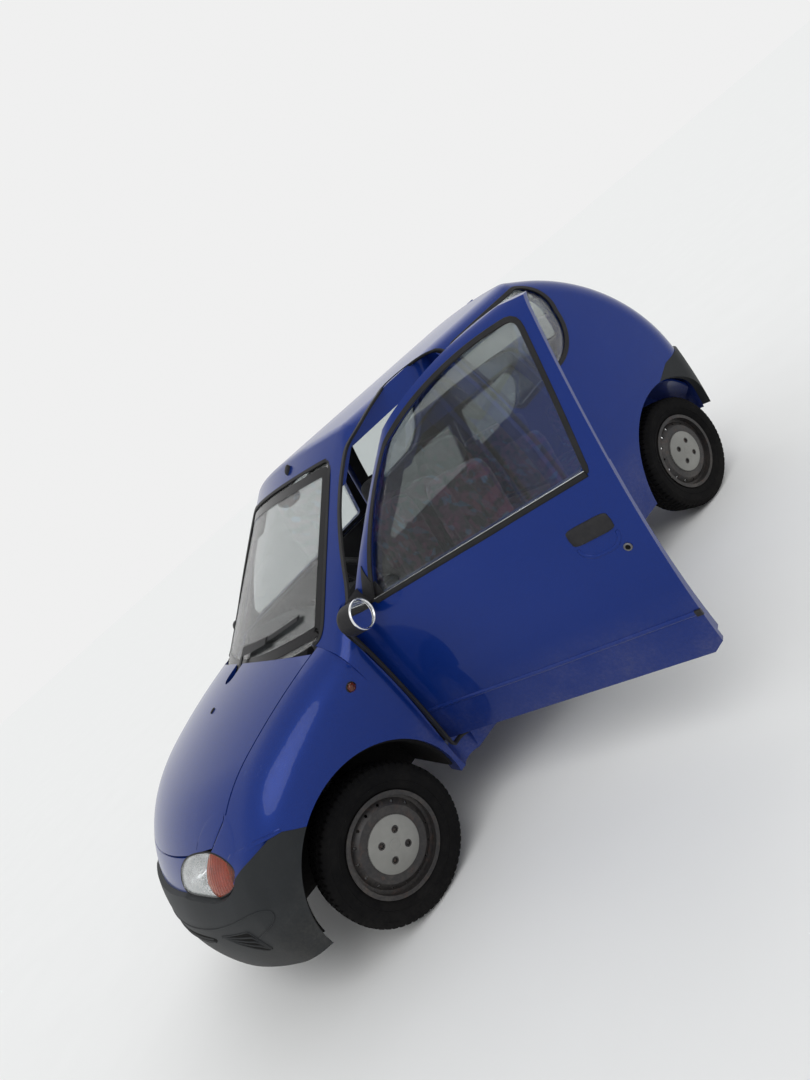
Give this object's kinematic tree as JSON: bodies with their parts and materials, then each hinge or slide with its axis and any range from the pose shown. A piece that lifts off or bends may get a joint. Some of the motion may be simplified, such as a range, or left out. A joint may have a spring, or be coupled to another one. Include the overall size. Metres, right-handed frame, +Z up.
{
  "type": "city car",
  "caption": "Small hatchback city car with opening doors, bonnet and tailgate, steered front wheels and a hollow cabin.",
  "frame": {"origin": "on the floor under the middle of the box round the whole car, with its left door open as stored", "axes": "+X towards the front of the car, +Y to its left, +Z up"},
  "size_m": [3.3215, 2.5589, 1.438],
  "materials": {
    "body_paint": "glossy metallic",
    "bumper_plastic": "grained",
    "black_trim": "grained",
    "glass": "clear",
    "lamp_clear": "fluted",
    "lamp_red": "fluted",
    "wheel_black": "satin",
    "tyre_rubber": "worn",
    "chassis_black": "dusty",
    "engine_metal": "cast",
    "exhaust_steel": "dull, rusty",
    "seat_cloth": "patterned weave",
    "dash_plastic": "grained"
  },
  "bodies": {
    "body_shell": {"floor_pan": "body_paint", "bulkhead": "body_paint", "wheel_arches": "body_paint", "side_panel_left": "body_paint", "side_panel_right": "body_paint", "roof_panel": "body_paint", "front_wings": "body_paint", "nose_panel": "body_paint", "headlamps": "lamp_clear", "front_bumper": "bumper_plastic", "rear_bumper": "bumper_plastic", "rear_panel": "body_paint", "tail_lamps": "lamp_red", "windscreen": "glass", "quarter_glasses": "glass", "engine_block": "engine_metal", "front_axle": "chassis_black", "rear_axle": "chassis_black", "exhaust": "exhaust_steel", "fuel_tank": "chassis_black", "dashboard": "dash_plastic", "front_seats": "seat_cloth", "rear_bench": "seat_cloth", "inside_mirror": "black_trim", "windscreen_wiper": "black_trim"},
    "bonnet": {"bonnet": "body_paint"},
    "tailgate": {"tailgate": "body_paint", "tailgate_glass": "glass"},
    "door_left": {"door_left": "body_paint", "door_glass_left": "glass", "door_trim_left": "dash_plastic", "door_mirror_left": "black_trim"},
    "knuckle_left": {"knuckle_left": "chassis_black"},
    "door_right": {"door_right": "body_paint", "door_glass_right": "glass", "door_trim_right": "dash_plastic", "door_mirror_right": "black_trim"},
    "knuckle_right": {"knuckle_right": "chassis_black"},
    "wheel_front_left": {"tyre_front_left": "tyre_rubber", "wheel_front_left": "wheel_black"},
    "wheel_front_right": {"tyre_front_right": "tyre_rubber", "wheel_front_right": "wheel_black"},
    "wheel_rear_left": {"tyre_rear_left": "tyre_rubber", "wheel_rear_left": "wheel_black"},
    "wheel_rear_right": {"tyre_rear_right": "tyre_rubber", "wheel_rear_right": "wheel_black"},
    "steering_wheel": {"steering_wheel": "black_trim"}
  },
  "joints": [
    {"name": "door_left_hinge", "type": "hinge", "parent": "body_shell", "child": "door_left", "pos_m": [0.6265, 0.31364, 0.656], "axis": [0, 0, 1], "range_deg": [0, 65.8]},
    {"name": "door_right_hinge", "type": "hinge", "parent": "body_shell", "child": "door_right", "pos_m": [0.6265, -1.14836, 0.656], "axis": [0, 0, 1], "range_deg": [0, 65.8]},
    {"name": "bonnet_hinge", "type": "hinge", "parent": "body_shell", "child": "bonnet", "pos_m": [0.7025, -0.41736, 0.88], "axis": [0, -1, 0], "range_deg": [0, 50]},
    {"name": "tailgate_hinge", "type": "hinge", "parent": "body_shell", "child": "tailgate", "pos_m": [-1.0955, -0.41736, 1.421], "axis": [0, 1, 0], "range_deg": [0, 75]},
    {"name": "steering_left", "type": "hinge", "parent": "body_shell", "child": "knuckle_left", "pos_m": [1.0415, 0.16764, 0.186], "axis": [-0.034, -0.1253, 0.9915], "range_deg": [-33, 33]},
    {"name": "steering_right", "type": "hinge", "parent": "body_shell", "child": "knuckle_right", "pos_m": [1.0415, -1.00236, 0.186], "axis": [-0.034, 0.1253, 0.9915], "range_deg": [-33, 33]},
    {"name": "wheel_front_left_spin", "type": "hinge", "parent": "knuckle_left", "child": "wheel_front_left", "pos_m": [1.0375, 0.21714, 0.266], "axis": [0, 1, 0], "continuous": true},
    {"name": "wheel_front_right_spin", "type": "hinge", "parent": "knuckle_right", "child": "wheel_front_right", "pos_m": [1.0375, -1.05186, 0.266], "axis": [0, 1, 0], "continuous": true},
    {"name": "wheel_rear_left_spin", "type": "hinge", "parent": "body_shell", "child": "wheel_rear_left", "pos_m": [-1.1625, 0.21164, 0.266], "axis": [0, 1, 0], "continuous": true},
    {"name": "wheel_rear_right_spin", "type": "hinge", "parent": "body_shell", "child": "wheel_rear_right", "pos_m": [-1.1625, -1.04636, 0.266], "axis": [0, 1, 0], "continuous": true},
    {"name": "steering_column", "type": "hinge", "parent": "body_shell", "child": "steering_wheel", "pos_m": [0.2825, -0.07736, 0.85], "axis": [0.9063, 0, -0.4226], "range_deg": [-528, 528]}
  ],
  "couplings": [
    {"joint": "steering_right", "follows": "steering_left", "ratio": 1},
    {"joint": "steering_column", "follows": "steering_left", "ratio": -16}
  ]
}
